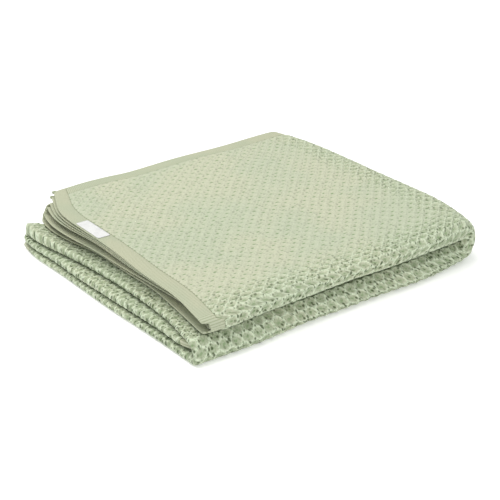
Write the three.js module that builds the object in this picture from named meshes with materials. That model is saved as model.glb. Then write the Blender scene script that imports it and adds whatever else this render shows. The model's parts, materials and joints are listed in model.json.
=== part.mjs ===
// A knitted baby blanket, folded into a twelve-layer pile, in millimetres with +Z up.
//
// The blanket is one flat knitted cloth, LENGTH by WIDTH. It is folded as a hand folds it:
// doubled over at mid length, then in three across its width, then doubled once more.
// Each fold is a bend of finite radius, so the layers lie a little apart.
//
// A point of the cloth is u along its length, v across its width. In the pile, X runs
// from the hems (left) to the thick fold (right), Y from the front to the back.
import * as THREE from "three";

// The cloth
const LENGTH = 1500;
const WIDTH = 1000;
const CLOTH = 2.9;            // thickness of the honeycomb knit
const BAND = 16;              // width of the ribbed edge band
const BAND_CLOTH = 2.0;       // thickness of the ribbed edge band
const SEAM = 0.8;             // gap between pieces that are joined edge to edge

// The label
const LABEL_LENGTH = 46;
const LABEL_WIDTH = 14;
const LABEL_CLOTH = 0.6;
const LABEL_GAP = 0.3;        // between the label and the band under it
const LABEL_FRONT = 196;      // Y of its front end in the pile
const LABEL_INSET = 0.8;      // from the hem to the label
const LABEL_STEPS = 4;        // grid steps along it

// The pile
const LAYERS = 12;
const LAYER = 3.9;            // height of one layer of cloth and the air over it
const PAIR = 2 * LAYER;       // height of the doubled cloth
const HALF_STACK = (LAYERS / 4) * LAYER; // half the height of the three doubled layers
const HALF_SPAN = (LAYERS / 2 - 1) * LAYER; // from the first to the last of them
const FRONT_AXIS = 11.2;      // Y of the axis that the cloth bends round at the front
const BACK_AXIS = 325.7;      // the same at the back
const INNER_HEM = 14;         // Y of the long hem that is folded inside
const OUTER_HEM = 335;        // Y of the long hem on the outside
const RIGHT_AXIS = 359;       // X of the axis of the last fold
const LOBE_FRONT = -1.8;      // X of the left folds of the lower half, at the front
const LOBE_SPLAY = 0.093;      // how far they stand out, per millimetre of Y
const HEM_X = 8;              // X of the top layer's hem
const HEM_FAN_FRONT = 2;      // how far the lowest hem stands out from it, at the front
const HEM_FAN_BACK = 12.5;     // and at the back
const FOOT = CLOTH / 2;       // height of the lowest layer's middle
const TOP_HEIGHT = FOOT + (LAYERS - 1) * LAYER;
const MID_HEIGHT = (FOOT + TOP_HEIGHT) / 2;

// The pile is centred on its origin by the middle of its outline
const CENTRE_X = 175.392;
const CENTRE_Y = 172.423;

// How loose layers stand apart at the back of the left end: the number of layers below
// the gap, its height, the X it reaches to and the length over which it grows from there
const GAPS = [
  { under: 5, open: 8.5, reach: 2, over: 34 },
  { under: 7, open: 4, reach: 120, over: 120 },
  { under: 8, open: 5.2, reach: 135, over: 135 },
  { under: 10, open: 0.6, reach: 150, over: 150 },
  { under: 11, open: 0.9, reach: 90, over: 90 },
];
const GAP_START = 30;         // Y where the gaps begin
const GAP_GROWTH = 230;       // and the depth over which they grow

// How far the layers' left ends stand out past their even line, along the pile's depth: the
// upper half's top and lowest hem, and the lower half's high and middle fold. Each row
// counts most at its own Y and fades over LEFT_FADE.
const LEFT_ENDS = [
  { y: 0, topHem: 1.8, lowHem: -1.1, highFold: 3.5, middleFold: 1.4 },
  { y: 55, topHem: -4.8, lowHem: -7.5, highFold: -8.9, middleFold: -3.3 },
  { y: 110, topHem: 2.8, lowHem: -10.6, highFold: -10.6, middleFold: -3.2 },
  { y: 165, topHem: 3.6, lowHem: -5.2, highFold: -9.9, middleFold: -1.5 },
  { y: 220, topHem: 5.9, lowHem: -6.6, highFold: -8.1, middleFold: 0.3 },
  { y: 275, topHem: 11.1, lowHem: 1.6, highFold: -5.5, middleFold: -2.7 },
  { y: 330, topHem: -0.8, lowHem: 6.3, highFold: -1.0, middleFold: 1.0 },
];
const LEFT_FADE = 45;
const HIGH_FOLD_RANK = 0.6;   // ranks in the lower half where its folds begin
const MIDDLE_FOLD_RANK = 0.2;
const RANK_STEP = 0.2;

// The middle of the left end is fuller: round which Y, how far in X, how much the layers
// halfway up are raised, and how much those from the middle fold's upper layer up
const FULLER = { y: 150, spread: 105, reach: 70, halfway: 1.3, upper: 1.5, above: 2 };

// The outline in plan: how far its ends are cut back in X, between two values of Y. The
// right end (side 1) leans and has round corners, the left end (side -1) a round one.
const CUTS = [
  { side: 1, from: 60, to: 340, cut: 8, power: 1 },
  { side: 1, from: 90, to: 0, cut: 16, power: 2 },
  { side: 1, from: 240, to: 335, cut: 13, power: 2 },
  { side: -1, from: 285, to: 333, cut: 6, power: 2 },
];
const CUT_FADE = 5;           // how fast a cut fades away from its end
const LEFT_DEPTH = 0.945;     // depth of the pile at its left end, as a share of its own
const BODY_DEPTH = 1.005;     // the same past the left end
const RIGHT_DEPTH = 1.042;    // the same at the thick fold
const BODY_START = -5;        // X where the left end begins to deepen
const BODY_REACH = 110;       // and the length over which it does
const FOOT_SPREAD = 7;        // how far the lowest fold spreads to the front on the floor
const FOOT_HEIGHT = 16;       // and the height where that ends
const FOOT_FADE = 8;          // how late it fades out towards the thick fold
const FRONT_REACH = 90;       // depth over which the front edge has its own shape

// How edges and layers waver: size, length along X, Y and Z over one radian, and phase
const FRONT_WAVES = [
  { size: 1.3, alongX: 41, alongZ: Infinity, phase: 3.9 },
  { size: 0.7, alongX: 17, alongZ: 9, phase: 0 },
];
const LEFT_WAVE = { size: 0.8, alongY: 33, alongZ: 11 };
const SWELL = { size: 0.9, alongX: 52, alongY: 61, phaseX: 1.1, phaseY: 0.4 };
const RIPPLE = { size: 0.5, alongX: 23, alongY: 37 };
const BACK_PUFF = 2;          // how much higher the top is along the back
const BACK_PUFF_START = 170;  // Y where that begins
const BACK_PUFF_REACH = 150;
const FOLD_PUFF = 3.5;        // how much higher the top is over the thick fold
const FOLD_PUFF_START = 0.7;  // share of the pile's length where that begins

const clamp = (x) => Math.min(1, Math.max(0, x));
const smooth = (x) => clamp(x) * clamp(x) * (3 - 2 * clamp(x));

// First fold: the cloth is doubled over at mid length. Gives the distance from that
// fold and the offset from the middle of the doubled cloth.
const FOLD_RADIUS = LAYER / 2;
function doubled(u) {
  const s = u - LENGTH / 2;
  const quarter = (Math.PI / 2) * FOLD_RADIUS;
  if (Math.abs(s) <= quarter) {
    const angle = s / FOLD_RADIUS;
    return { x: FOLD_RADIUS * (1 - Math.cos(angle)), n: FOLD_RADIUS * Math.sin(angle) };
  }
  return { x: FOLD_RADIUS + Math.abs(s) - quarter, n: Math.sign(s) * FOLD_RADIUS };
}
const DOUBLED_LENGTH = doubled(LENGTH).x;

// Second fold: in three across the width, as a letter. The doubled cloth runs from its
// inner hem to the back, turns up, runs to the front, turns down round the inner third
// and runs to the outer hem.
const INNER_RUN = BACK_AXIS - INNER_HEM;
const BACK_TURN = Math.PI * (PAIR / 2);
const MIDDLE_RUN = BACK_AXIS - FRONT_AXIS;
const FRONT_TURN = Math.PI * PAIR;
const OUTER_RUN = OUTER_HEM - FRONT_AXIS;
const LETTER = INNER_RUN + BACK_TURN + MIDDLE_RUN + FRONT_TURN + OUTER_RUN;
function lettered(v, n) {
  let q = (v / WIDTH) * LETTER;
  if (q < INNER_RUN) return { y: INNER_HEM + q, n: -n };
  q -= INNER_RUN;
  if (q < BACK_TURN) {
    const angle = q / (PAIR / 2);
    const r = PAIR / 2 + n;
    return { y: BACK_AXIS + r * Math.sin(angle), n: PAIR / 2 - r * Math.cos(angle) };
  }
  q -= BACK_TURN;
  if (q < MIDDLE_RUN) return { y: BACK_AXIS - q, n: PAIR + n };
  q -= MIDDLE_RUN;
  if (q < FRONT_TURN) {
    const angle = q / PAIR;
    const r = PAIR + n;
    return { y: FRONT_AXIS - r * Math.sin(angle), n: r * Math.cos(angle) };
  }
  q -= FRONT_TURN;
  return { y: FRONT_AXIS + q, n: -PAIR - n };
}
// v of the outer third's point at a given Y of the pile
function outerThirdV(y) {
  return (WIDTH * (LETTER - OUTER_HEM + y)) / LETTER;
}

// How far the end of a layer at a Y stands out, from its rank in the upper or lower half
function standsOut(column, y) {
  return LEFT_ENDS.reduce((sum, row) => sum + row[column] * Math.exp(-(((y - row.y) / LEFT_FADE) ** 2)), 0);
}
function hemOut(y, rank) {
  return standsOut("topHem", y) * (1 - rank) + standsOut("lowHem", y) * rank;
}
function foldOut(y, rank) {
  const high = smooth((rank - HIGH_FOLD_RANK) / RANK_STEP);
  const middle = smooth((rank - MIDDLE_FOLD_RANK) / RANK_STEP) * (1 - high);
  return standsOut("highFold", y) * high + standsOut("middleFold", y) * middle;
}

// Third fold: the six layers are doubled over to the left. A layer's bend is as wide as
// its place in the stack, and the layer is drawn evenly between its fold and its hem.
function stacked(x, y, n) {
  const radius = HALF_STACK - n;
  const rank = (HALF_STACK + HALF_SPAN / 2 - radius) / HALF_SPAN;
  const back = y / BACK_AXIS;
  const fan = (HEM_FAN_FRONT + (HEM_FAN_BACK - HEM_FAN_FRONT) * back) * rank;
  const lower = RIGHT_AXIS - (LOBE_FRONT - LOBE_SPLAY * y) + foldOut(y, rank);
  const upper = RIGHT_AXIS - (HEM_X - fan) + hemOut(y, rank);
  const turn = Math.PI * radius;
  const along = (x / DOUBLED_LENGTH) * (lower + turn + upper);
  if (along < lower) return { x: RIGHT_AXIS - lower + along, z: MID_HEIGHT - radius };
  if (along < lower + turn) {
    const angle = (along - lower) / radius;
    return { x: RIGHT_AXIS + radius * Math.sin(angle), z: MID_HEIGHT - radius * Math.cos(angle) };
  }
  return { x: RIGHT_AXIS - (along - lower - turn), z: MID_HEIGHT + radius };
}

// The lower half is looser than the upper one, most of all at its near left corner
const RISE = 2.5;
const CORNER_RISE = 2.6;
const CORNER_X = 16;
const CORNER_Y = 40;
function settled(x, y, z) {
  const corner = Math.exp(-((Math.max(x, 0) / CORNER_X) ** 2) - (y / CORNER_Y) ** 2);
  const below = clamp((z - FOOT) / (MID_HEIGHT - FOOT));
  const above = clamp((z - MID_HEIGHT) / (TOP_HEIGHT - MID_HEIGHT));
  const fuller = Math.exp(-(((y - FULLER.y) / FULLER.spread) ** 2)) * smooth(1 - x / FULLER.reach);
  const upper = smooth((z - FOOT) / LAYER - FULLER.above);
  return z + (RISE + CORNER_RISE * corner + FULLER.halfway * fuller) * (below - above)
    + FULLER.upper * fuller * upper;
}

// Loose layers are lifted off those under them, at the back of the left end
function lifted(x, y, z) {
  const back = smooth((y - GAP_START) / GAP_GROWTH);
  let lift = 0;
  for (const gap of GAPS) {
    const step = smooth((z - FOOT) / LAYER - (gap.under - 1));
    lift += gap.open * step * smooth((gap.reach - x) / gap.over) * back;
  }
  return lift;
}

// The outline in plan
function shaped(x, y, z) {
  const share = clamp(x / RIGHT_AXIS);
  let cut = 0;
  for (const c of CUTS) {
    const end = c.side > 0 ? share ** CUT_FADE : (1 - share) ** CUT_FADE;
    cut += c.side * c.cut * end * clamp((y - c.from) / (c.to - c.from)) ** c.power;
  }
  const left = LEFT_WAVE.size * Math.sin(y / LEFT_WAVE.alongY + z / LEFT_WAVE.alongZ);
  let front = -FOOT_SPREAD * clamp(1 - z / FOOT_HEIGHT) * (1 - share ** FOOT_FADE);
  for (const wave of FRONT_WAVES) {
    front += wave.size * Math.sin(x / wave.alongX + z / wave.alongZ + wave.phase);
  }
  const depth = LEFT_DEPTH + (BODY_DEPTH - LEFT_DEPTH) * smooth((x - BODY_START) / BODY_REACH)
    + (RIGHT_DEPTH - BODY_DEPTH) * share;
  return {
    x: x - cut + left * (1 - share),
    y: y * depth + front * clamp(1 - y / FRONT_REACH),
  };
}

// The upper layers lie in shallow hollows and swells, and are higher along the back
function swell(x, y, z) {
  const high = clamp((z - FOOT) / (TOP_HEIGHT - FOOT));
  const hollow = SWELL.size * Math.sin(x / SWELL.alongX + SWELL.phaseX)
    * Math.sin(y / SWELL.alongY + SWELL.phaseY);
  const ripple = RIPPLE.size * Math.sin(x / RIPPLE.alongX + y / RIPPLE.alongY);
  const back = smooth((y - BACK_PUFF_START) / BACK_PUFF_REACH);
  const fold = smooth((x / RIGHT_AXIS - FOLD_PUFF_START) / (1 - FOLD_PUFF_START));
  return high ** 2 * (hollow - ripple + BACK_PUFF * back + FOLD_PUFF * fold * (1 - back));
}

// Middle of the cloth at u, v in the folded pile
function middle(u, v) {
  const first = doubled(u);
  const second = lettered(v, first.n);
  const third = stacked(first.x, second.y, second.n);
  const plan = shaped(third.x, second.y, third.z);
  const height = settled(third.x, second.y, third.z) + lifted(third.x, second.y, third.z)
    + swell(third.x, second.y, third.z);
  return new THREE.Vector3(plan.x - CENTRE_X, plan.y - CENTRE_Y, height);
}

// A point at a height off the cloth's middle, on its outer or inner side. The side is
// found from two short steps along the cloth.
const STEP = 0.02;
function point(u, v, off) {
  const along = middle(u + STEP, v).sub(middle(u - STEP, v));
  const across = middle(u, v + STEP).sub(middle(u, v - STEP));
  const normal = along.cross(across).normalize();
  return middle(u, v).addScaledVector(normal, off);
}

// A closed slab of cloth between two offsets, over a grid of u and v. Points that lie on
// the floor but for rounding are put exactly on it.
const ON_FLOOR = 0.001;
function slab(us, vs, low, high) {
  const positions = [];
  const index = [];
  const cols = us.length;
  const rows = vs.length;
  for (const off of [high, low]) {
    for (const v of vs) {
      for (const u of us) {
        const p = point(u, v, off);
        positions.push(p.x, p.y, Math.abs(p.z) < ON_FLOOR ? 0 : p.z);
      }
    }
  }
  const id = (side, i, j) => side * cols * rows + j * cols + i;
  const quad = (a, b, c, d) => index.push(a, b, c, a, c, d);
  for (let j = 0; j + 1 < rows; j++) {
    for (let i = 0; i + 1 < cols; i++) {
      quad(id(0, i, j), id(0, i + 1, j), id(0, i + 1, j + 1), id(0, i, j + 1));
      quad(id(1, i, j), id(1, i, j + 1), id(1, i + 1, j + 1), id(1, i + 1, j));
    }
  }
  for (let i = 0; i + 1 < cols; i++) {
    quad(id(0, i + 1, 0), id(0, i, 0), id(1, i, 0), id(1, i + 1, 0));
    quad(id(0, i, rows - 1), id(0, i + 1, rows - 1), id(1, i + 1, rows - 1), id(1, i, rows - 1));
  }
  for (let j = 0; j + 1 < rows; j++) {
    quad(id(0, 0, j), id(0, 0, j + 1), id(1, 0, j + 1), id(1, 0, j));
    quad(id(0, cols - 1, j + 1), id(0, cols - 1, j), id(1, cols - 1, j), id(1, cols - 1, j + 1));
  }
  const geometry = new THREE.BufferGeometry();
  geometry.setAttribute("position", new THREE.Float32BufferAttribute(positions, 3));
  geometry.setIndex(index);
  geometry.computeVertexNormals();
  return geometry;
}

// Grid lines over a run, evenly spaced
function run(from, to, steps) {
  return Array.from({ length: steps }, (_, i) => from + ((to - from) * i) / steps);
}

// Grid lines along the length between two ends: sparse on the flat, close at the folds.
// Distances are from the first fold to a hem.
const FROM_TIP = [9, 18, 28, 50, 90, 175, 260]; // lines between the first and thick folds
const TURN_AT = 382;          // middle of the thick fold
const TURN_REACH = 38;        // half the cloth in it
const TURN_LINES = 5;         // lines in each half of it
const TURN_CROWDING = 1.6;    // how much closer they are in its middle
const TO_HEM = [490, 565, 640, 676, 712]; // lines between the thick fold and the hem
const TIP_LINES = 4;          // steps round the first fold
function lengthLines(from, to) {
  const turn = [];
  for (let k = -TURN_LINES; k <= TURN_LINES; k++) {
    turn.push(TURN_AT + Math.sign(k) * TURN_REACH * (Math.abs(k) / TURN_LINES) ** TURN_CROWDING);
  }
  const tip = FOLD_RADIUS * Math.PI / 2;
  const half = [tip, ...FROM_TIP, ...turn, ...TO_HEM];
  const lines = [];
  for (const s of [...half].reverse()) lines.push(LENGTH / 2 - s);
  for (const s of run(-tip, tip, TIP_LINES).slice(1)) lines.push(LENGTH / 2 + s);
  for (const s of half) lines.push(LENGTH / 2 + s);
  return ends(lines, from, to);
}

// Grid lines across the width between two ends: closer near the front and the back,
// where the outline turns. FROM_FRONT holds shares of a flat run.
const FROM_FRONT = [0, 0.04, 0.1, 0.22, 0.45, 0.68, 0.84, 0.94];
const BACK_STEPS = 5;         // steps round the back fold
const FRONT_STEPS = 7;        // steps round the front fold
function widthLines(from, to) {
  const at = (q) => (q / LETTER) * WIDTH;
  const back = INNER_RUN + BACK_TURN;
  const middle = back + MIDDLE_RUN;
  const front = middle + FRONT_TURN;
  const lines = [
    ...FROM_FRONT.map((f) => at(f * INNER_RUN)),
    ...run(at(INNER_RUN), at(back), BACK_STEPS),
    at(back),
    ...FROM_FRONT.map((f) => at(middle - f * MIDDLE_RUN)).reverse(),
    ...run(at(middle), at(front), FRONT_STEPS).slice(1),
    ...FROM_FRONT.map((f) => at(front + f * OUTER_RUN)),
  ];
  return ends(lines, from, to);
}

// Keeps the lines well inside two ends, and adds the ends
const LINE_GAP = 3;
function ends(lines, from, to) {
  return [from, ...lines.filter((x) => x > from + LINE_GAP && x < to - LINE_GAP), to];
}

const knit = new THREE.MeshStandardMaterial({ color: 0xb3c19c, roughness: 0.92, metalness: 0 });
const rib = new THREE.MeshStandardMaterial({ color: 0xaebd98, roughness: 0.92, metalness: 0 });
const satin = new THREE.MeshStandardMaterial({ color: 0xf4f3ee, roughness: 0.45, metalness: 0 });

const blanket = new THREE.Group();
function add(name, geometry, material) {
  const mesh = new THREE.Mesh(geometry, material);
  mesh.name = name;
  blanket.add(mesh);
}

// The honeycomb cloth, between the four bands
const near = BAND + SEAM;
add("honeycomb_cloth", slab(lengthLines(near, LENGTH - near), widthLines(near, WIDTH - near),
  -CLOTH / 2, CLOTH / 2), knit);

// The ribbed bands: the end bands run the whole width, the side bands fit between them.
// The top end band has grid lines under the label, so that the label lies on it evenly.
const bandHalf = BAND_CLOTH / 2;
const bandLines = [0, ...widthLines(near, WIDTH - near), WIDTH];
const labelHem = LENGTH - LABEL_INSET;
const labelUs = [labelHem - LABEL_WIDTH, labelHem];
const labelStart = outerThirdV(LABEL_FRONT);
const labelEnd = labelStart + LABEL_LENGTH;
const labelVs = [...run(labelStart, labelEnd, LABEL_STEPS), labelEnd];
const underLabel = [...bandLines.filter((v) => v < labelStart || v > labelEnd), ...labelVs];
underLabel.sort((p, q) => p - q);
add("end_band_top", slab([LENGTH - BAND, ...labelUs, LENGTH], underLabel, -bandHalf, bandHalf), rib);
add("end_band_under", slab([0, BAND], bandLines, -bandHalf, bandHalf), rib);
add("side_band_outer", slab(lengthLines(near, LENGTH - near), [WIDTH - BAND, WIDTH],
  -bandHalf, bandHalf), rib);
add("side_band_inner", slab(lengthLines(near, LENGTH - near), [0, BAND], -bandHalf, bandHalf), rib);

// The satin label, sewn flat on the top layer's end band, on the cloth's outer side, which
// is the one with offsets under zero
const labelFoot = bandHalf + LABEL_GAP;
add("satin_label", slab(labelUs, labelVs, -labelFoot - LABEL_CLOTH, -labelFoot), satin);

export default blanket;
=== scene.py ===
import json
import math

import bmesh
import bpy
import numpy as np
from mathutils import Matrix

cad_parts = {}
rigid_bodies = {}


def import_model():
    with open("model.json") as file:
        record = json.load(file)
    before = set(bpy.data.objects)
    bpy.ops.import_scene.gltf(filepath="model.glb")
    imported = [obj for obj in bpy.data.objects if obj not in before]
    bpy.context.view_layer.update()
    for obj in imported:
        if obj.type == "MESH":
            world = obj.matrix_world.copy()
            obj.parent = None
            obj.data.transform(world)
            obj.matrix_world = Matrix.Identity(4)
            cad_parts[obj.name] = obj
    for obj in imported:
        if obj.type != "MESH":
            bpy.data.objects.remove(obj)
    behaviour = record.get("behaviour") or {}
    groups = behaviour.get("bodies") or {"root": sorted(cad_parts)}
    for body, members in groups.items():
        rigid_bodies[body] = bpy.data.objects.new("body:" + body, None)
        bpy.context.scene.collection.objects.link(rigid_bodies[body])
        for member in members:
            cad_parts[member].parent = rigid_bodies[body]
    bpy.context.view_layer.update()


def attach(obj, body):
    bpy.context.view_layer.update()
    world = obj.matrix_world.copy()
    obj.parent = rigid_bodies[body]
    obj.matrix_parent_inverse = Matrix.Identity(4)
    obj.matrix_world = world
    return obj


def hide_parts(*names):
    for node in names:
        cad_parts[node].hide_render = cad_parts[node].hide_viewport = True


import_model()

scene = bpy.context.scene


# The view: the pile seen from over its near left corner, a little more than a metre away,
# on a plain pale floor under a broad soft light from above and a pale surround.
DOWN = 27.4
TOWARDS_RIGHT = 35.2
camera = bpy.data.objects.new("camera", bpy.data.cameras.new("camera"))
scene.collection.objects.link(camera)
scene.camera = camera
camera.data.sensor_width = 36.0
camera.data.lens = 77.76
camera.location = (-0.6202, -0.8884, 0.5585)
camera.rotation_euler = (math.radians(90 - DOWN), 0.0, math.radians(-TOWARDS_RIGHT))

scene.view_settings.view_transform = "Standard"
surround = bpy.data.worlds.new("surround")
scene.world = surround
surround.use_nodes = True
background = surround.node_tree.nodes["Background"]
background.inputs["Color"].default_value = (0.97, 0.985, 1.0, 1.0)
background.inputs["Strength"].default_value = 0.72

LIGHTS = {
    "overhead": {"at": (-0.35, 0.25, 1.5), "size": 1.3, "power": 17.0},
    "front": {"at": (-0.5, -1.6, 1.0), "size": 1.2, "power": 6.0},
}
for name, light in LIGHTS.items():
    lamp = bpy.data.objects.new(name, bpy.data.lights.new(name, "AREA"))
    lamp.data.size = light["size"]
    lamp.data.energy = light["power"]
    lamp.data.color = (1.0, 0.985, 0.955)
    lamp.location = light["at"]
    toward = -lamp.location
    lamp.rotation_euler = toward.to_track_quat("-Z", "Y").to_euler()
    scene.collection.objects.link(lamp)


class Wire:
    """An output of a material's node, so that shader maths reads as arithmetic."""

    def __init__(self, tree, output):
        self.tree = tree
        self.output = output

    def node(self, kind, values, out=0, **settings):
        """Adds a node with its settings and the values or wires of its inputs."""
        made = self.tree.nodes.new(kind)
        for setting, value in settings.items():
            setattr(made, setting, value)
        for key, value in values.items():
            if isinstance(value, Wire):
                self.tree.links.new(value.output, made.inputs[key])
            else:
                made.inputs[key].default_value = value
        return Wire(self.tree, made.outputs[out])

    def maths(self, operation, *others):
        values = dict(enumerate((self, *others)))
        return self.node("ShaderNodeMath", values, operation=operation)

    def vector(self, operation, other, out=0):
        return self.node("ShaderNodeVectorMath", {0: self, 1: other}, out, operation=operation)

    def part(self, axis):
        return self.node("ShaderNodeSeparateXYZ", {0: self}, "XYZ".index(axis))

    def mix(self, first, second):
        """The colour between two colours, by this factor."""
        values = {0: self, 6: first, 7: second}
        return self.node("ShaderNodeMix", values, 2, data_type="RGBA")

    def between(self, low, high):
        """0 below low, 1 above high, smooth between them."""
        values = {0: self, 1: low, 2: high}
        return self.node("ShaderNodeMapRange", values, interpolation_type="SMOOTHSTEP")

    def noise(self, scale, detail, out=0, **sockets):
        """Soft noise over this map of the cloth, so many waves to a unit of it."""
        values = {"Vector": self, "Scale": scale, "Detail": detail, **sockets}
        return self.node("ShaderNodeTexNoise", values, out)

    def bump(self, strength, depth):
        """The normal of a surface that is this much higher or lower, depth in metres."""
        values = {"Strength": strength, "Distance": depth, "Height": self}
        return self.node("ShaderNodeBump", values)

    def feed(self, shader, socket):
        self.tree.links.new(self.output, shader.inputs[socket])

    def __add__(self, other):
        return self.maths("ADD", other)

    def __sub__(self, other):
        return self.maths("SUBTRACT", other)

    def __mul__(self, other):
        return self.maths("MULTIPLY", other)

    def __truediv__(self, other):
        return self.maths("DIVIDE", other)

    def __rsub__(self, other):
        return self * -1.0 + other

    __radd__ = __add__
    __rmul__ = __mul__


def new_material(name, sockets):
    """A material with its Principled shader's fixed values, and a first wire in its tree."""
    material = bpy.data.materials.new(name)
    material.use_nodes = True
    tree = material.node_tree
    shader = tree.nodes["Principled BSDF"]
    for socket, value in sockets.items():
        shader.inputs[socket].default_value = value
    return material, shader, Wire(tree, None)


FLOOR = 15.0
FLOOR_HEIGHT = -0.0004
# Painted light: the floor glows faintly, which lifts the pile's shadow on it and lights the pile's low
# faces from below
glowing_floor_material = new_material("pale floor", {
    "Roughness": 0.9,
    "Base Color": (0.93, 0.93, 0.93, 1.0),
    "Emission Color": (1.0, 1.0, 1.0, 1.0),
    "Emission Strength": 0.22,
})[0]
floor_mesh = bpy.data.meshes.new("floor")
corners = [(x * FLOOR, y * FLOOR, FLOOR_HEIGHT) for x, y in [(-1, -1), (1, -1), (1, 1), (-1, 1)]]
floor_mesh.from_pydata(corners, [], [(0, 1, 2, 3)])
floor_mesh.materials.append(glowing_floor_material)
floor = bpy.data.objects.new("floor", floor_mesh)
scene.collection.objects.link(floor)


# Honeycomb cloth: one cotton panel, 1466 by 966 mm, knitted as staggered rows of hollow
# cells in a raised net of yarn. It is doubled over at mid length, folded in three across
# its width and doubled over again, and lies in twelve layers. Millimetres up to the mesh.
LENGTH = 1500.0
WIDTH = 1000.0
CLOTH = 2.9
BAND = 16.0
SEAM = 0.8
LAYERS = 12
LAYER = 3.9
PAIR = 2 * LAYER
HALF_STACK = LAYERS / 4 * LAYER
HALF_SPAN = (LAYERS / 2 - 1) * LAYER
FRONT_AXIS = 11.2
BACK_AXIS = 325.7
INNER_HEM = 14.0
OUTER_HEM = 335.0
RIGHT_AXIS = 359.0
LOBE_FRONT = -1.8
LOBE_SPLAY = 0.093
HEM_X = 8.0
HEM_FAN_FRONT = 2.0
HEM_FAN_BACK = 12.5
FOOT = CLOTH / 2
TOP_HEIGHT = FOOT + (LAYERS - 1) * LAYER
MID_HEIGHT = (FOOT + TOP_HEIGHT) / 2
CENTRE_X = 175.392
CENTRE_Y = 172.423
FOLD_RADIUS = LAYER / 2
DOUBLED_LENGTH = FOLD_RADIUS + LENGTH / 2 - math.pi / 2 * FOLD_RADIUS
INNER_RUN = BACK_AXIS - INNER_HEM
BACK_TURN = math.pi * PAIR / 2
MIDDLE_RUN = BACK_AXIS - FRONT_AXIS
FRONT_TURN = math.pi * PAIR
LETTER = INNER_RUN + BACK_TURN + MIDDLE_RUN + FRONT_TURN + OUTER_HEM - FRONT_AXIS


def clamp(x):
    return np.clip(x, 0.0, 1.0)


def smooth(x):
    """0 at 0 and 1 at 1, easing in and out."""
    return clamp(x) ** 2 * (3 - 2 * clamp(x))


def near(value, place, reach):
    """1 at a place, fading to nothing a little more than its reach away on both sides."""
    return np.exp(-(((value - place) / reach) ** 2))


def doubled(u):
    """First fold, at mid length: distance from the fold, and offset from the pair's middle."""
    s = u - LENGTH / 2
    quarter = math.pi / 2 * FOLD_RADIUS
    angle = np.clip(s, -quarter, quarter) / FOLD_RADIUS
    x = FOLD_RADIUS * (1 - np.cos(angle)) + np.maximum(np.abs(s) - quarter, 0)
    return x, FOLD_RADIUS * np.sin(angle)


def lettered(v, n):
    """Second fold, in three across the width: to the back, to the front, to the back."""
    q = v / WIDTH * LETTER
    back = INNER_RUN + BACK_TURN
    middle = back + MIDDLE_RUN
    front = middle + FRONT_TURN
    b = (q - INNER_RUN) / (PAIR / 2)
    f = (q - middle) / PAIR
    back_radius = PAIR / 2 + n
    front_radius = PAIR + n
    runs = [q < INNER_RUN, q < back, q < middle, q < front]
    y = np.select(runs, [INNER_HEM + q, BACK_AXIS + back_radius * np.sin(b), BACK_AXIS - (q - back),
                         FRONT_AXIS - front_radius * np.sin(f)], FRONT_AXIS + q - front)
    offset = np.select(runs, [-n, PAIR / 2 - back_radius * np.cos(b), PAIR + n,
                              front_radius * np.cos(f)], -PAIR - n)
    return y, offset


# How far the left ends of the layers stand out past an even line, along the pile's depth:
# the upper half's top and lowest hem, and the lower half's high and middle fold
LEFT_ENDS = [
    {"y": 0, "top_hem": 1.8, "low_hem": -1.1, "high_fold": 3.5, "middle_fold": 1.4},
    {"y": 55, "top_hem": -4.8, "low_hem": -7.5, "high_fold": -8.9, "middle_fold": -3.3},
    {"y": 110, "top_hem": 2.8, "low_hem": -10.6, "high_fold": -10.6, "middle_fold": -3.2},
    {"y": 165, "top_hem": 3.6, "low_hem": -5.2, "high_fold": -9.9, "middle_fold": -1.5},
    {"y": 220, "top_hem": 5.9, "low_hem": -6.6, "high_fold": -8.1, "middle_fold": 0.3},
    {"y": 275, "top_hem": 11.1, "low_hem": 1.6, "high_fold": -5.5, "middle_fold": -2.7},
    {"y": 330, "top_hem": -0.8, "low_hem": 6.3, "high_fold": -1.0, "middle_fold": 1.0},
]
LEFT_FADE = 45

# Near the front the hems under the top one are drawn in, at the back one of them stands out,
# and the cloth's inner edge is drawn in at the front corner of the middle lobe
HEMS_IN = {"by": 11.0, "y": 40, "reach": 60}
HEM_OUT = {"by": 4.0, "rank": 0.8, "y": 230, "reach": 80}
EDGE_IN = {"by": 9.0, "rank": 0.5, "y": 8, "reach": 16, "from": 10.5, "over": 4}


def stands_out(column, y):
    """How far the left end of a hem or fold stands out at y along the depth."""
    return sum(row[column] * near(y, row["y"], LEFT_FADE) for row in LEFT_ENDS)


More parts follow.
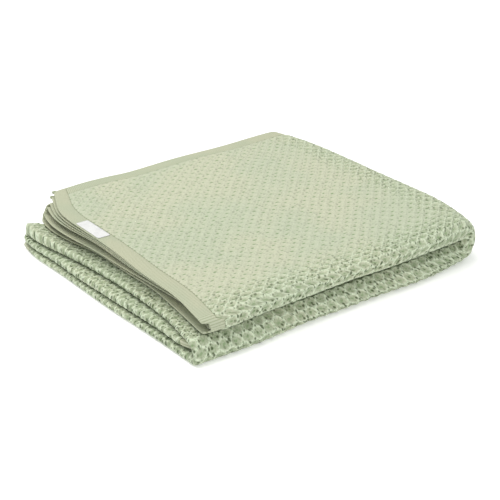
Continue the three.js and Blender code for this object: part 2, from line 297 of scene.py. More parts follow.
def stacked(x, y, n):
    """Third fold: the six layers are doubled over to the left round the thick fold. A
    layer's rank is 0 on the outside of that fold and 1 on its inside."""
    radius = HALF_STACK - n
    rank = (HALF_STACK + HALF_SPAN / 2 - radius) / HALF_SPAN
    fan = (HEM_FAN_FRONT + (HEM_FAN_BACK - HEM_FAN_FRONT) * y / BACK_AXIS) * rank
    high = smooth((rank - 0.6) / 0.2)
    halfway = smooth((rank - 0.2) / 0.2) * (1 - high)
    fold_out = stands_out("high_fold", y) * high + stands_out("middle_fold", y) * halfway
    hem_out = stands_out("top_hem", y) * (1 - rank) + stands_out("low_hem", y) * rank
    between = smooth((rank - 0.1) / 0.15) * smooth((0.95 - rank) / 0.15)
    hem_out -= HEMS_IN["by"] * between * near(y, HEMS_IN["y"], HEMS_IN["reach"])
    hem_out += HEM_OUT["by"] * near(rank, HEM_OUT["rank"], 0.1) * near(y, HEM_OUT["y"], HEM_OUT["reach"])
    inner_corner = near(rank, EDGE_IN["rank"], 0.2) * near(y, EDGE_IN["y"], EDGE_IN["reach"])
    fold_out -= EDGE_IN["by"] * inner_corner * smooth((y - EDGE_IN["from"]) / EDGE_IN["over"])
    lower = RIGHT_AXIS - (LOBE_FRONT - LOBE_SPLAY * y) + fold_out
    upper = RIGHT_AXIS - (HEM_X - fan) + hem_out
    turn = math.pi * radius
    along = x / DOUBLED_LENGTH * (lower + turn + upper) - lower
    angle = np.clip(along / radius, 0, math.pi)
    flat = np.minimum(along, 0) - np.maximum(along - turn, 0)
    return RIGHT_AXIS + flat + radius * np.sin(angle), MID_HEIGHT - radius * np.cos(angle)


# How far the lower half's layers rise apart, more at its front left corner and, with the
# upper half's, where the pile is fullest, and the slit between the halves at the front
RISE = 2.5
CORNER_RISE = 2.6
FULLER = {"y": 150, "reach": 105, "end": 70, "halfway": 1.3, "upper": 1.5}
SLIT = {"from": 70, "over": 50, "at_left": 0.35, "right": 180, "upper": 2.0, "lower": 1.2}

# The gaps that open towards the back of the left end, each under the layer of that number
GAPS = [
    {"under": 5, "open": 8.5, "reach": 2, "over": 34},
    {"under": 7, "open": 4.0, "reach": 120, "over": 120},
    {"under": 8, "open": 5.2, "reach": 135, "over": 135},
    {"under": 10, "open": 0.6, "reach": 150, "over": 150},
    {"under": 11, "open": 0.9, "reach": 90, "over": 90},
]

# The top's shallow swells and ripples, and its rise at the back and over the thick fold
SWELL = 0.9
RIPPLE = 0.5
BACK_RISE = 2.0
FOLD_RISE = 3.5


def raised(x, y, z):
    """The height of a point: the loose lower half, the slit at the front, the layers that
    stand apart at the back of the left end, and the shallow hollows and swells of the top."""
    corner = near(np.maximum(x, 0), 0, 16) * near(y, 0, 40)
    below = clamp((z - FOOT) / (MID_HEIGHT - FOOT))
    above = clamp((z - MID_HEIGHT) / (TOP_HEIGHT - MID_HEIGHT))
    fuller = near(y, FULLER["y"], FULLER["reach"]) * smooth(1 - x / FULLER["end"])
    height = z + (RISE + CORNER_RISE * corner + FULLER["halfway"] * fuller) * (below - above)
    height += FULLER["upper"] * fuller * smooth((z - FOOT) / LAYER - 2)
    slit = smooth((SLIT["from"] - y) / SLIT["over"])
    slit *= SLIT["at_left"] + (1 - SLIT["at_left"]) * smooth(x / SLIT["right"])
    upper = smooth((z - MID_HEIGHT + 1.5) / 3)
    height += slit * (SLIT["upper"] * upper * (1 - above) - SLIT["lower"] * (1 - upper) * below)
    for gap in GAPS:
        step = smooth((z - FOOT) / LAYER - (gap["under"] - 1))
        height += gap["open"] * step * smooth((gap["reach"] - x) / gap["over"]) * smooth((y - 30) / 230)
    high = clamp((z - FOOT) / (TOP_HEIGHT - FOOT))
    swell = SWELL * np.sin(x / 52 + 1.1) * np.sin(y / 61 + 0.4)
    ripple = RIPPLE * np.sin(x / 23 + y / 37)
    back = smooth((y - 170) / 150)
    fold = smooth((x / RIGHT_AXIS - 0.7) / 0.3)
    return height + high ** 2 * (swell - ripple + BACK_RISE * back + FOLD_RISE * fold * (1 - back))


# Where the outline is cut back, from and to these depths: side 1 is the thick fold's end
CUTS = [
    {"side": 1, "from": 60, "to": 340, "cut": 8, "power": 1},
    {"side": 1, "from": 90, "to": 0, "cut": 16, "power": 2},
    {"side": 1, "from": 240, "to": 335, "cut": 13, "power": 2},
    {"side": -1, "from": 285, "to": 333, "cut": 6, "power": 2},
]

# How far the lowest fold spreads on the floor, and up to what height. How deep the pile is,
# as a share of its layers' own depth, at its left end and more towards the thick fold.
SPREAD = 7.0
SPREAD_HEIGHT = 16
LEFT_DEPTH = 0.945
MORE_NEAR_LEFT = 0.06
MORE_TO_RIGHT = 0.037


def outlined(x, y, z):
    """The outline in plan: the ends are cut back at their corners, the lowest fold spreads
    on the floor, the pile deepens from its left end to the thick fold, and edges waver."""
    share = clamp(x / RIGHT_AXIS)
    cut = 0.0
    for c in CUTS:
        end = share if c["side"] > 0 else 1 - share
        along = clamp((y - c["from"]) / (c["to"] - c["from"])) ** c["power"]
        cut += c["side"] * c["cut"] * end ** 5 * along
    left = 0.8 * np.sin(y / 33 + z / 11)
    front = -SPREAD * clamp(1 - z / SPREAD_HEIGHT) * (1 - share ** 8)
    front = front + 1.3 * np.sin(x / 41 + 3.9) + 0.7 * np.sin(x / 17 + z / 9)
    depth = LEFT_DEPTH + MORE_NEAR_LEFT * smooth((x + 5) / 110) + MORE_TO_RIGHT * share
    return x - cut + left * (1 - share), y * depth + front * clamp(1 - y / 90)


# Soft creases of the top layers: where each starts and ends, its half width and depth
CREASES = [
    {"from": (30, 250), "to": (150, 296), "width": 11, "depth": 0.9},
    {"from": (60, 180), "to": (210, 232), "width": 16, "depth": 0.8},
    {"from": (150, 90), "to": (300, 130), "width": 18, "depth": 0.7},
    {"from": (230, 200), "to": (330, 260), "width": 15, "depth": 0.8},
    {"from": (40, 60), "to": (120, 110), "width": 13, "depth": 0.6},
    {"from": (300, 60), "to": (345, 150), "width": 12, "depth": 0.8},
    {"from": (90, 20), "to": (290, 34), "width": 7, "depth": 0.5},
]
CREASE_FADE = 30


def creased(x, y, z):
    """How deep the creases are at a point, in full at the top and in none of the low layers."""
    depth = 0.0
    for crease in CREASES:
        (x0, y0), (x1, y1) = crease["from"], crease["to"]
        run = math.hypot(x1 - x0, y1 - y0)
        along = ((x - x0) * (x1 - x0) + (y - y0) * (y1 - y0)) / run
        aside = ((y - y0) * (x1 - x0) - (x - x0) * (y1 - y0)) / run
        ends = smooth(along / CREASE_FADE) * smooth((run - along) / CREASE_FADE)
        depth += crease["depth"] * ends * near(aside, 0, crease["width"])
    return depth * clamp((z - FOOT - 8 * LAYER) / (3 * LAYER))


def middle(u, v):
    """The cloth's middle at u along its length and v across its width, in the pile."""
    x, n = doubled(u)
    y, n = lettered(v, n)
    x, z = stacked(x, y, n)
    across, deep = outlined(x, y, z)
    return np.stack([across - CENTRE_X, deep - CENTRE_Y, raised(x, y, z) - creased(x, y, z)], axis=-1)


def outward(u, v):
    """The direction out of the doubled cloth."""
    step = 0.02
    along = middle(u + step, v) - middle(u - step, v)
    across = middle(u, v + step) - middle(u, v - step)
    normal = np.cross(across, along)
    return normal / np.linalg.norm(normal, axis=-1, keepdims=True)


def folded(u, v, off):
    """Points off the cloth's middle, on its outer side where off is over 0. In metres."""
    points = middle(u, v) + off[..., None] * outward(u, v)
    points[..., 2] = np.maximum(points[..., 2], 0.0)
    return points / 1000


# The knit: how many pitches of it the panel has, and the height over the cloth's middle of
# the hollows, of the net's crest and of the plain underside
COLUMNS = 110
ROWS = 70
KNIT_START = BAND + SEAM
PITCH_U = (LENGTH - 2 * KNIT_START) / COLUMNS
PITCH_V = (WIDTH - 2 * KNIT_START) / ROWS
CELL_STRETCH = 1.6
HOLLOW = 0.4
NET = 1.75
NET_WIDTH = 2.0
UNDERSIDE = 1.1


def net_distance(s, t):
    """Distance in mm from the net's crest, at s and t in pitches. Each pitch holds a cell at
    its middle and a quarter of one at each corner."""
    qs = np.abs(s % 1.0 - 0.5)
    qt = np.abs(t % 1.0 - 0.5)
    wide = PITCH_U / CELL_STRETCH
    own = np.hypot(qs * wide, qt * PITCH_V)
    corner = np.hypot((qs - 0.5) * wide, (qt - 0.5) * PITCH_V)
    beside = np.hypot((1 - qs) * wide, qt * PITCH_V)
    beyond = np.hypot((qs + 0.5) * wide, (qt - 0.5) * PITCH_V)
    other = np.minimum(np.maximum(own, corner), np.minimum(beside, beyond))
    return (other - np.minimum(own, corner)) / 2


def knit_unit(name, steps):
    """One pitch of the knit, flat, as a small grid with its net raised."""
    line = np.linspace(0.0, 1.0, steps + 1)
    s, t = np.meshgrid(line, line)
    height = HOLLOW + (NET - HOLLOW) * (1 - clamp(net_distance(s, t) / NET_WIDTH) ** 2) ** 2
    points = np.stack([s * PITCH_U, t * PITCH_V, height], axis=-1).reshape(-1, 3)
    ids = np.arange((steps + 1) ** 2).reshape(steps + 1, steps + 1)
    faces = np.stack([ids[:-1, :-1], ids[:-1, 1:], ids[1:, 1:], ids[1:, :-1]], axis=-1).reshape(-1, 4)
    mesh = bpy.data.meshes.new(name)
    mesh.from_pydata(points.tolist(), [], faces.tolist())
    return bpy.data.objects.new(name, mesh)


def repeat_tree():
    """Geometry nodes that knit a unit over columns and rows, from a first column and row,
    and leave its surface a little uneven."""
    tree = bpy.data.node_groups.new("repeat of a knitted unit", "GeometryNodeTree")
    inputs = {
        "Unit": "NodeSocketObject",
        "Columns": "NodeSocketInt",
        "Rows": "NodeSocketInt",
        "First Column": "NodeSocketInt",
        "First Row": "NodeSocketInt",
        "Pitch Along": "NodeSocketFloat",
        "Pitch Across": "NodeSocketFloat",
        "Unevenness": "NodeSocketFloat",
        "Seed": "NodeSocketFloat",
        "Material": "NodeSocketMaterial",
    }
    for name, kind in inputs.items():
        tree.interface.new_socket(name=name, in_out="INPUT", socket_type=kind)
    tree.interface.new_socket(name="Geometry", in_out="OUTPUT", socket_type="NodeSocketGeometry")
    group = tree.nodes.new("NodeGroupInput")
    given = {name: Wire(tree, group.outputs[name]) for name in inputs}
    index = Wire(tree, tree.nodes.new("GeometryNodeInputIndex").outputs[0])
    row = (index / given["Columns"]).maths("FLOOR")
    column = index - row * given["Columns"]
    x = (column + given["First Column"]) * given["Pitch Along"]
    y = (row + given["First Row"]) * given["Pitch Across"]
    place = index.node("ShaderNodeCombineXYZ", {0: x, 1: y})
    count = given["Columns"] * given["Rows"]
    points = index.node("GeometryNodePoints", {"Count": count, "Position": place})
    unit = index.node("GeometryNodeObjectInfo", {"Object": given["Unit"]}, "Geometry")
    copies = index.node("GeometryNodeInstanceOnPoints", {"Points": points, "Instance": unit})
    real = index.node("GeometryNodeRealizeInstances", {"Geometry": copies})
    joined = index.node("GeometryNodeMergeByDistance", {"Geometry": real, "Distance": 0.01})
    place = index.node("GeometryNodeInputPosition", {})
    values = {"Vector": place, "W": given["Seed"], "Scale": 0.16, "Detail": 2.0}
    noise = index.node("ShaderNodeTexNoise", values, noise_dimensions="4D")
    height = place.part("Z") * (noise - 0.5) * given["Unevenness"]
    lift = index.node("ShaderNodeCombineXYZ", {2: height})
    uneven = index.node("GeometryNodeSetPosition", {"Geometry": joined, "Offset": lift})
    knitted = index.node("GeometryNodeSetMaterial", {"Geometry": uneven, "Material": given["Material"]})
    output = tree.nodes.new("NodeGroupOutput")
    tree.links.new(knitted.output, output.inputs["Geometry"])
    return tree


REPEAT = repeat_tree()


def knitted_flat(name, values):
    """The flat knit that the tree makes from named values, as a plain mesh, in mm."""
    holder = bpy.data.objects.new(name, bpy.data.meshes.new(name))
    scene.collection.objects.link(holder)
    modifier = holder.modifiers.new("repeat", "NODES")
    modifier.node_group = REPEAT
    for item in REPEAT.interface.items_tree:
        if item.in_out == "INPUT":
            modifier[item.identifier] = values[item.name]
    evaluated = holder.evaluated_get(bpy.context.evaluated_depsgraph_get())
    mesh = bpy.data.meshes.new_from_object(evaluated)
    bpy.data.objects.remove(holder)
    return mesh


def vertex_points(mesh):
    """Where a mesh's vertices are."""
    points = np.empty(len(mesh.vertices) * 3)
    mesh.vertices.foreach_get("co", points)
    return points.reshape(-1, 3)


def set_flat_map(mesh, across):
    """A map named flat: where each corner lies on the flat cloth, in pitches."""
    corners = np.empty(len(mesh.loops), dtype=np.int64)
    mesh.loops.foreach_get("vertex_index", corners)
    layer = mesh.uv_layers.new(name="flat")
    layer.data.foreach_set("uv", across[corners].astype(np.float32).ravel())


def new_piece(name, mesh, material, node=None):
    """Puts a finished mesh in the scene, in place of its plain solid where it has one."""
    mesh.materials.clear()
    mesh.materials.append(material)
    piece = bpy.data.objects.new(name, mesh)
    scene.collection.objects.link(piece)
    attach(piece, "root")
    if node:
        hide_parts(node)
    return piece


# Cotton yarn, pale sage green, with painted light and shade: the raised net is painted lighter and the
# hollows in a deeper green shade, most of all where the knit is drawn open and on steep and low faces, and
# small holes where three cells meet are painted in near black shade
NET_COLOUR = (0.525, 0.538, 0.402, 1.0)
NET_COOL = (0.486, 0.522, 0.39, 1.0)
NET_OPEN_LIT = (0.64, 0.73, 0.54, 1.0)
HOLLOW_SHADE = (0.215, 0.30, 0.155, 1.0)
HOLE_SHADE = (0.05, 0.075, 0.025, 1.0)
CELL_WIDE = PITCH_U / CELL_STRETCH
MIDDLE = (0.5, 0.5, 0.5)
knit_material, knit_shader, wire = new_material("honeycomb knit", {
    "Roughness": 0.92,
    "Specular IOR Level": 0.15,
    "Sheen Weight": 0.1,
    "Sheen Roughness": 0.5,
})
flat = wire.node("ShaderNodeUVMap", {}, uv_map="flat")
# How far the knit is drawn open, which also sets how much painted shade and highlight its colour takes
open_and_shaded = wire.node("ShaderNodeAttribute", {}, 2, attribute_name="open")
uneven = flat.noise(2.3, 0.0) - 0.5
yarn = flat.noise(8.0, 2.0, Roughness=0.6)
fibre = flat.noise(26.0, 1.0)
patch = flat.noise(0.13, 2.0)

# Where a point lies in its pitch of the knit, from the pitch's middle, a little astray
wander = flat.noise(1.7, 1.0, 1).vector("SUBTRACT", MIDDLE).vector("MULTIPLY", (0.22, 0.22, 0.0))
tile = flat.vector("ADD", wander)
tile = tile.node("ShaderNodeVectorMath", {0: tile}, operation="FRACTION").vector("SUBTRACT", MIDDLE)
tile = tile.node("ShaderNodeVectorMath", {0: tile}, operation="ABSOLUTE")
qs = tile.part("X")
qt = tile.part("Y")


def distance(s, t, wide=CELL_WIDE):
    """In mm, from a share of a pitch along and across."""
    x = s * wide
    y = t * PITCH_V
    return (x * x + y * y).maths("SQRT")


own = distance(qs, qt)
corner = distance(qs - 0.5, qt - 0.5)
beside = distance(1.0 - qs, qt)
beyond = distance(qs + 0.5, qt - 0.5)
nearest = own.maths("MINIMUM", corner)
second = own.maths("MAXIMUM", corner).maths("MINIMUM", beside.maths("MINIMUM", beyond))
crest = (second - nearest) * 0.5

# Holes at the two kinds of place where three cells meet, painted dark with the shade seen through them
shoulder = 0.25 * (1 - (CELL_WIDE / PITCH_V) ** 2)
tip = 0.25 * (1 + (CELL_WIDE / PITCH_V) ** 2)
at_shoulder = distance(qs - 0.5, qt - shoulder, PITCH_U)
at_tip = distance(qs, qt - tip, PITCH_U)
hole = at_shoulder.maths("MINIMUM", at_tip) + uneven * 3.4
hole = (1.0 - hole.between(0.2, 1.2)) * (open_and_shaded * 0.6 + 0.4)

# Painted shade: a dark dash in the middle of each cell's hollow, and fine holes between the stitches, dark
# with the shade seen through them
DASH_NARROW = 1.3
DASH_FLAT = 1.7
dash = distance(qs * DASH_NARROW, qt * DASH_FLAT)
dash = dash.maths("MINIMUM", distance((qs - 0.5) * DASH_NARROW, (qt - 0.5) * DASH_FLAT))
eye = 1.0 - (dash + uneven * 1.8).between(0.7, 2.1)
stitch_values = {"Vector": flat.vector("MULTIPLY", (1.0, 1.25, 1.0)), "Scale": 3.5, "Randomness": 0.7}
stitches = wire.node("ShaderNodeTexVoronoi", stitch_values, "Distance")
chance = wire.node("ShaderNodeTexVoronoi", stitch_values, "Color").part("X")
pinhole = (1.0 - stitches.between(0.24, 0.5)) * (chance.between(0.1, 0.5) * 0.75 + 0.25)
pinhole = pinhole * (crest.between(0.3, 1.3) * 0.75 + 0.25) * (open_and_shaded * 0.8 + 0.2)

# Painted highlight: the net's crest is lighter where the knit is drawn open
light = (1.0 - crest.between(0.2, 1.2)) * open_and_shaded
# Painted shade: a random mottle, the deep parts of the cells and the dash in each, darkened towards the
# hollows' shade
mottle = yarn.between(0.45, 0.65) * (open_and_shaded * 0.42 + 0.16)
depth = crest.between(0.9, 1.9) * (open_and_shaded * 0.34 + 0.04) + eye * (0.88 - open_and_shaded * 0.45)
colour = patch.between(0.38, 0.62).mix(NET_COLOUR, NET_COOL)
colour = (light * 0.8).mix(colour, NET_OPEN_LIT)
colour = mottle.mix(colour, HOLLOW_SHADE)
colour = depth.maths("MINIMUM", 1.0).mix(colour, HOLLOW_SHADE)
# Painted shade: the holes and pinholes are coloured near black, as the shade seen through them
colour = (hole.maths("MAXIMUM", pinhole) * 0.82).mix(colour, HOLE_SHADE)
colour.feed(knit_shader, "Base Color")
relief = yarn * 0.6 + fibre * 0.35 - hole * 1.2 - eye * 0.6 - pinhole * 0.8
relief.bump(0.6, 0.0008).feed(knit_shader, "Normal")


# Where the knit is drawn open, which also takes the most painted shade: in the low layers, and at the top's
# front and right edges
OPEN_LOW = {"under": 36, "over": 8}
OPEN_FRONT = {"share": 0.75, "from": 52, "over": 40}
OPEN_RIGHT = {"share": 0.6, "from": 318, "over": 35}


def opened_and_shaded(u, v):
    """How far the knit is drawn open: 0 where it lies flat on top, 1 round the folds and on the loose left
    ends of the lower half, and partly along the top's front and right. The same share sets how much painted
    shade and highlight the knit's colour takes."""
    x, y, z = np.moveaxis(middle(u, v), -1, 0)
    steep = 1 - smooth((outward(u, v)[..., 2] - 0.55) / 0.4)
    low = smooth((OPEN_LOW["under"] - z) / OPEN_LOW["over"])
    front = OPEN_FRONT["share"] * smooth((OPEN_FRONT["from"] - y - CENTRE_Y) / OPEN_FRONT["over"])
    right = OPEN_RIGHT["share"] * smooth((x + CENTRE_X - OPEN_RIGHT["from"]) / OPEN_RIGHT["over"])
    return np.maximum.reduce([steep, low, front, right]).astype(np.float32)


def closing_walls(ids, inner, every):
    """The faces that close a sheet's four sides, where its back has a point only at every
    so many of its front's."""
    walls = []
    for k in range(inner.shape[1] - 1):
        span = slice(k * every, (k + 1) * every + 1)
        walls.append([*ids[0, span], inner[0, k + 1], inner[0, k]])
        walls.append([*ids[-1, span][::-1], inner[-1, k], inner[-1, k + 1]])
    for k in range(inner.shape[0] - 1):
        span = slice(k * every, (k + 1) * every + 1)
        walls.append([*ids[span, 0][::-1], inner[k, 0], inner[k + 1, 0]])
        walls.append([*ids[span, -1], inner[k + 1, -1], inner[k, -1]])
    return walls


# The panel in the parts that the folds divide it into, by columns and rows of the knit,
# the most finely knitted where it shows
PARTS = {
    "knit_top": {"columns": (86, 110), "rows": (48, 70), "steps": 12, "on": "knit_inner_half"},
    "knit_front_fold": {"columns": (58, 110), "rows": (42, 48), "steps": 12, "on": "knit_inner_half"},
    "knit_right_fold": {"columns": (80, 86), "rows": (48, 70), "steps": 12, "on": "knit_inner_half"},
    "knit_left_folds": {"columns": (52, 58), "rows": (0, 70), "steps": 12, "on": "knit_underside"},
    "knit_back_fold": {"columns": (58, 110), "rows": (20, 24), "steps": 8, "on": "knit_inner_half"},
    "knit_slit_faces": {"columns": (58, 110), "rows": (24, 42), "steps": 4, "on": "knit_inner_half"},
    "knit_underside": {"columns": (58, 80), "rows": (48, 70), "steps": 4, "on": "floor"},
    "knit_inner_third": {"columns": (58, 110), "rows": (0, 20), "steps": 2, "on": "knit_inner_half"},
    "knit_inner_half": {"columns": (0, 52), "rows": (0, 70), "steps": 2, "on": "knit_underside"},
}

# Over a left fold the net is pulled flat. Where the knit is drawn open, its net stands up
# and its hollows sink. At the panel's edge it is sewn down flat and doesn't drift.
FOLD_REACH = 22
FOLD_FLAT = 0.7
FOLD_HEIGHT = 0.6
OPEN_LIFT = 0.15
OPEN_SINK = 0.4
EDGE_HEIGHT = 0.7
EDGE_REACH = 3.0
DRIFT_REACH = 12.0
units = {}
for name, part in PARTS.items():
    steps = part["steps"]
    if steps not in units:
        units[steps] = knit_unit(f"knit unit {steps}", steps)
    (first, last), (low, high) = part["columns"], part["rows"]
    flat_mesh = knitted_flat(name, {
        "Unit": units[steps], "Columns": last - first, "Rows": high - low, "First Column": first,
        "First Row": low, "Pitch Along": PITCH_U, "Pitch Across": PITCH_V, "Unevenness": 0.5,
        "Seed": 3.0, "Material": knit_material})
    points = vertex_points(flat_mesh)
    bpy.data.meshes.remove(flat_mesh)
    i = np.rint(points[:, 0] / PITCH_U * steps - first * steps).astype(int)
    j = np.rint(points[:, 1] / PITCH_V * steps - low * steps).astype(int)
    ids = np.empty((j.max() + 1, i.max() + 1), dtype=int)
    ids[j, i] = np.arange(len(points))
    skip = max(steps // 3, 1)
    inner_i = np.arange(0, i.max() + 1, skip)
    inner_j = np.arange(0, j.max() + 1, skip)
    inner = np.arange(len(inner_i) * len(inner_j)).reshape(len(inner_j), len(inner_i)) + len(points)
    inner_u, inner_v = np.meshgrid(inner_i * PITCH_U / steps + first * PITCH_U,
                                   inner_j * PITCH_V / steps + low * PITCH_V)
    faces = np.stack([ids[:-1, :-1], ids[1:, :-1], ids[1:, 1:], ids[:-1, 1:]], axis=-1)
    under = np.stack([inner[:-1, :-1], inner[:-1, 1:], inner[1:, 1:], inner[1:, :-1]], axis=-1)
    walls = closing_walls(ids, inner, skip)
    s = np.concatenate([points[:, 0], inner_u.ravel()])
    t = np.concatenate([points[:, 1], inner_v.ravel()])
    edge = np.minimum(np.minimum(s, LENGTH - 2 * KNIT_START - s), np.minimum(t, WIDTH - 2 * KNIT_START - t))
    drift_u = 0.9 * np.sin(t / 47 + s / 91) + 0.5 * np.sin(t / 13.7)
    drift_v = 0.8 * np.sin(s / 39 + t / 71) + 0.4 * np.sin(s / 11.3)
    loose = smooth(edge / DRIFT_REACH)
    u = KNIT_START + s + drift_u * loose
    v = KNIT_START + t + drift_v * loose
    open_and_shaded_share = opened_and_shaded(u, v)
    ridge = clamp((points[:, 2] - HOLLOW) / (NET - HOLLOW))
    tight = near(u, LENGTH / 2, FOLD_REACH)[: len(points)]
    opens = open_and_shaded_share[: len(points)] * (1 - tight)
    height = points[:, 2] + opens * (OPEN_LIFT * ridge - OPEN_SINK * (1 - ridge))
    height = height * (1 - FOLD_FLAT * tight) + FOLD_HEIGHT * tight
    height = EDGE_HEIGHT + (height - EDGE_HEIGHT) * smooth(edge[: len(points)] / EDGE_REACH)
    off = np.concatenate([height, np.full(inner_u.size, -UNDERSIDE)])
    place = folded(u, v, off)
    mesh = bpy.data.meshes.new(name)
    quads = np.concatenate([faces.reshape(-1, 4), under.reshape(-1, 4)]).tolist()
    mesh.from_pydata(place.tolist(), [], quads + walls)
    set_flat_map(mesh, np.stack([s / PITCH_U, t / PITCH_V], axis=-1))
    mesh.attributes.new("open", "FLOAT", "POINT").data.foreach_set("value", open_and_shaded_share)
    smoothed = np.ones(len(mesh.polygons), dtype=bool)
    smoothed[len(mesh.polygons) - len(walls):] = False
    mesh.polygons.foreach_set("use_smooth", smoothed)
    piece = new_piece(name, mesh, knit_material, "honeycomb_cloth")
    part["size"] = ((high - low) * PITCH_V / 1000, (last - first) * PITCH_U / 1000)


# Ribbed bands: four narrow bands knitted in a fine rib across their width, one sewn on each
# edge of the panel. The two end bands run the whole width and the side bands fit between
# them. A band's section runs from its free edge to the edge tucked under the panel's.
RIB = 2.3
RIB_HALF = 1.0
RIB_DEPTH = 0.28
RIB_STEPS = 3
BAND_CUT = 17.5
HALF_SECTION = [(0.0, 0.0), (0.3, 0.72), (1.2, 1.0), (5.0, 1.0), (10.0, 1.0), (15.3, 0.95), (16.3, 0.5),
                (BAND_CUT, 0.2)]
section = HALF_SECTION + [(w, -off) for w, off in HALF_SECTION[:0:-1]]


def rib_unit(pitch):
    """One rib of a band, flat: its section round the band, bulging between two grooves."""
    mesh = bpy.data.meshes.new("rib unit")
    points = []
    for k in range(RIB_STEPS + 1):
        bulge = 1.0 - RIB_DEPTH * (1.0 - math.sin(math.pi * k / RIB_STEPS))
        for w, off in section:
            points.append((pitch * k / RIB_STEPS, w, off * RIB_HALF * bulge))
    count = len(section)
    faces = []
    for k in range(RIB_STEPS):
        for a in range(count):
            b = (a + 1) % count
            faces.append((k * count + a, k * count + b, (k + 1) * count + b, (k + 1) * count + a))
    mesh.from_pydata(points, [], faces)
    return bpy.data.objects.new("rib unit", mesh)


RIB_COLOUR = (0.51, 0.515, 0.38, 1.0)
RIB_COOL = (0.465, 0.495, 0.365, 1.0)
RIB_GROOVE_SHADE = (0.26, 0.30, 0.17, 1.0)
rib_material, rib_shader, wire = new_material("ribbed edge band", {
    "Roughness": 0.9,
    "Specular IOR Level": 0.2,
    "Sheen Weight": 0.12,
    "Sheen Roughness": 0.5,
})
flat = wire.node("ShaderNodeUVMap", {}, uv_map="flat")
groove = (flat.part("X") * (2 * math.pi)).maths("COSINE").between(0.1, 1.0)
yarn = flat.vector("MULTIPLY", (1.0, 0.5, 1.0)).noise(2.2, 3.0)
patch = flat.noise(0.03, 2.0)
# Painted shade: a darker line along the seam where the band meets the panel
seam_shade = flat.part("Y").between(15.6, 17.0)
colour = patch.between(0.4, 0.6).mix(RIB_COLOUR, RIB_COOL)
# Painted shade: the grooves between the ribs are darkened, and the yarn is darkened at random towards the
# same shade
colour = (groove * (yarn * 0.8 + 0.25)).mix(colour, RIB_GROOVE_SHADE)
colour = (yarn.between(0.35, 0.7) * 0.25).mix(colour, RIB_GROOVE_SHADE)
colour = (seam_shade * 0.35).mix(colour, RIB_GROOVE_SHADE)
colour.feed(rib_shader, "Base Color")
(yarn * 0.8 - groove * 0.5).bump(0.5, 0.0006).feed(rib_shader, "Normal")

BANDS = {
    "end_band_top_knit": {"end": True, "far": True, "on": "knit_top"},
    "end_band_under_knit": {"end": True, "far": False, "on": "knit_inner_half"},
    "side_band_outer_knit": {"end": False, "far": True, "on": "knit_inner_half"},
    "side_band_inner_knit": {"end": False, "far": False, "on": "knit_inner_third"},
}
for name, band in BANDS.items():
    length = WIDTH if band["end"] else LENGTH - 2 * KNIT_START
    ribs = round(length / RIB)
    pitch = length / ribs
    mesh = knitted_flat(name, {
        "Unit": rib_unit(pitch), "Columns": ribs, "Rows": 1, "First Column": 0, "First Row": 0,
        "Pitch Along": pitch, "Pitch Across": BAND, "Unevenness": 0.35, "Seed": 8.0,
        "Material": rib_material})
    points = vertex_points(mesh)
    along, w, off = points.T
    if band["end"]:
        u = LENGTH - w if band["far"] else w
        v = along
    else:
        u = along + KNIT_START
        v = WIDTH - w if band["far"] else w
    place = folded(u, v, off)
    mesh.vertices.foreach_set("co", place.ravel())
    set_flat_map(mesh, np.stack([along / pitch, w], axis=-1))
    solid = bmesh.new()
    solid.from_mesh(mesh)
    bmesh.ops.holes_fill(solid, edges=solid.edges[:])
    bmesh.ops.recalc_face_normals(solid, faces=solid.faces[:])
    for face in solid.faces:
        face.smooth = len(face.verts) == 4
    solid.to_mesh(mesh)
    solid.free()
    piece = new_piece(name, mesh, rib_material, name.removesuffix("_knit"))


# Knots: the yarn ends of the two end bands are tied off at the back corners, in two small
# round knots each of the bands' own yarn, drawn up tight against the corner
KNOTS = [(LENGTH - 0.9, WIDTH - 0.7, 2.3), (LENGTH - 2.4, WIDTH + 0.6, 1.7),
         (0.9, WIDTH - 0.7, 2.2), (2.2, WIDTH + 0.6, 1.7)]
KNOT_LIFT = 0.2
KNOT_FLAT = 0.75
KNOT_TWIST = 0.18
KNOT_STEPS = (14, 9)
turn, fall = np.meshgrid(np.arange(KNOT_STEPS[0]) * 2 * math.pi / KNOT_STEPS[0] + math.pi / 2,
                         np.arange(1, KNOT_STEPS[1]) * math.pi / KNOT_STEPS[1])
ball = np.stack([np.sin(fall) * np.cos(turn), np.sin(fall) * np.sin(turn), np.cos(fall)], axis=-1)
ball = np.concatenate([ball.reshape(-1, 3), [(0, 0, 1), (0, 0, -1)]])
ids = np.arange(turn.size).reshape(turn.shape)
beside = np.roll(ids, -1, axis=1)
top, bottom = turn.size, turn.size + 1
ball_faces = np.stack([beside[1:], beside[:-1], ids[:-1], ids[1:]], axis=-1).reshape(-1, 4).tolist()
ball_faces += [[b, top, a] for a, b in zip(ids[0].tolist(), beside[0].tolist())]
ball_faces += [[a, bottom, b] for a, b in zip(ids[-1].tolist(), beside[-1].tolist())]
points = []
faces = []
for u, v, radius in KNOTS:
    knot = ball * radius / 1000
    knot *= 1 + KNOT_TWIST * np.sin(2600 * knot[:, 2:] + 1400 * knot[:, :1])
    knot[:, 2] *= KNOT_FLAT
    faces += [[len(points) + corner for corner in face] for face in ball_faces]
    points += (knot + folded(np.array([u]), np.array([v]), np.array([KNOT_LIFT]))).tolist()
mesh = bpy.data.meshes.new("corner_knots")
mesh.from_pydata(points, [], faces)
mesh.polygons.foreach_set("use_smooth", np.ones(len(mesh.polygons), dtype=bool))
set_flat_map(mesh, vertex_points(mesh)[:, :2] * 1000 / RIB)
new_piece("corner_knots", mesh, rib_material)


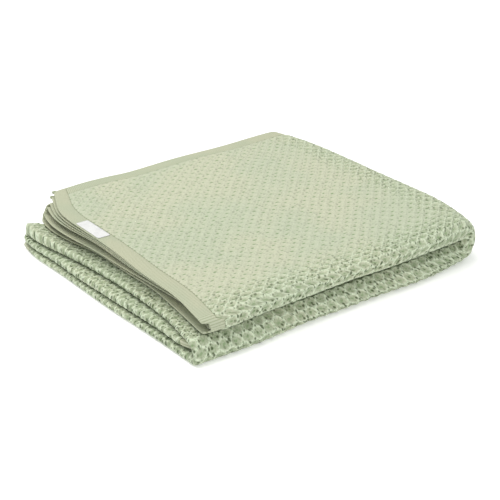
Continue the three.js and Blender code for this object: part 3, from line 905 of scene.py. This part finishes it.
# Label: a small bare strip of white woven satin, sewn flat on the top layer's end band. It
# starts well behind the front fold, and puffs a little between its stitched edges.
LABEL_LENGTH = 46.0
LABEL_WIDTH = 14.0
LABEL_Y = 198.5
LABEL_START = WIDTH * (LETTER - OUTER_HEM + LABEL_Y) / LETTER
LABEL_INSET = 0.8
LABEL_STEPS = (30, 10)
LABEL_LOW = 1.2
LABEL_THICK = 0.45
LABEL_PUFF = 0.35
WARP = 0.5
WEFT = 0.7
SATIN_COLOUR = (0.72, 0.72, 0.705, 1.0)
SATIN_SHADED = (0.65, 0.652, 0.645, 1.0)
satin_material, satin_shader, wire = new_material("white satin", {
    "Roughness": 0.42,
    "Specular IOR Level": 0.4,
})
flat = wire.node("ShaderNodeUVMap", {}, uv_map="flat")
warp = (flat.part("X") * (2 * math.pi / WARP)).maths("SINE")
weft = (flat.part("Y") * (2 * math.pi / WEFT)).maths("SINE")
sheen = flat.noise(0.09, 1.0).between(0.35, 0.7)
sheen.mix(SATIN_COLOUR, SATIN_SHADED).feed(satin_shader, "Base Color")
(warp * weft).bump(0.25, 0.0002).feed(satin_shader, "Normal")

across, along = np.meshgrid(np.linspace(-1, 1, LABEL_STEPS[1] + 1), np.linspace(-1, 1, LABEL_STEPS[0] + 1))
pull = 1 - 0.1 * clamp((np.abs(along) - 0.9) / 0.1) ** 2 * np.abs(across)
u = LENGTH - LABEL_INSET - LABEL_WIDTH / 2 * (1 - across * pull)
pull = 1 - 0.02 * clamp((np.abs(across) - 0.8) / 0.2) ** 2
v = LABEL_START + LABEL_LENGTH / 2 * (1 + along * pull)
edge = np.minimum(1 - np.abs(across), (1 - np.abs(along)) * 3)
puff = LABEL_PUFF * smooth(edge / 0.5) * (1 + 0.4 * np.sin(along * 7 + across * 2))
outer = folded(u, v, LABEL_LOW + LABEL_THICK + puff)
inner = folded(u, v, LABEL_LOW + puff * 0.6)
ids = np.arange(u.size).reshape(u.shape)
faces = np.stack([ids[:-1, :-1], ids[1:, :-1], ids[1:, 1:], ids[:-1, 1:]], axis=-1)
faces = faces.reshape(-1, 4).tolist()
count = u.size
faces += [[count + k for k in reversed(face)] for face in faces]
rim = [*ids[0, :-1], *ids[:-1, -1], *ids[-1, :0:-1], *ids[:0:-1, 0]]
for a, b in zip(rim, rim[1:] + rim[:1]):
    faces.append([int(a), int(b), int(b) + count, int(a) + count])
mesh = bpy.data.meshes.new("satin_label_cloth")
mesh.from_pydata(np.concatenate([outer.reshape(-1, 3), inner.reshape(-1, 3)]).tolist(), [], faces)
flat_place = np.stack([v - LABEL_START, u - LENGTH + LABEL_WIDTH], axis=-1).reshape(-1, 2)
set_flat_map(mesh, np.concatenate([flat_place, flat_place]))
mesh.polygons.foreach_set("use_smooth", np.ones(len(mesh.polygons), dtype=bool))
label = new_piece("satin_label_cloth", mesh, satin_material, "satin_label")


# The single pitches of knit and rib have been copied, and go
for unit in [o for o in bpy.data.objects if o.name.startswith(("knit unit", "rib unit"))]:
    bpy.data.objects.remove(unit)
